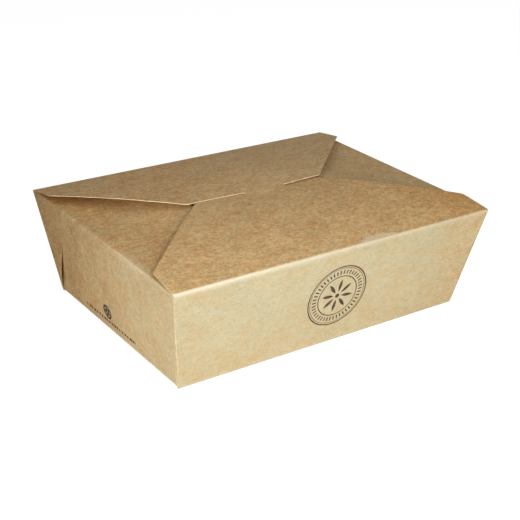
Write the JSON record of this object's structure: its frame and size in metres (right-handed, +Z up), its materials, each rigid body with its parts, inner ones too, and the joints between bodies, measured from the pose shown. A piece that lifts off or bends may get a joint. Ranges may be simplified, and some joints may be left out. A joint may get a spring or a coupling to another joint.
{
  "type": "takeaway box",
  "caption": "Low kraft board food box with outward-leaning walls, folded corner webs and long lid flaps that lap and lock with a tab in a slit.",
  "frame": {"origin": "centre of the underside of the base", "axes": "+X along the box's length, +Y towards the rear flap's crease, +Z up"},
  "size_m": [0.2178, 0.1676, 0.0721],
  "materials": {
    "kraft_board": "matt uncoated kraft, fibrous"
  },
  "bodies": {
    "box": {"folded_box": "kraft_board"},
    "lid": {"rear_flap": "kraft_board"}
  },
  "joints": [
    {"name": "rear_flap_hinge", "type": "hinge", "parent": "box", "child": "lid", "pos_m": [0, 0.08269, 0.06381], "axis": [-1, 0, 0], "range_deg": [0, 150]}
  ]
}
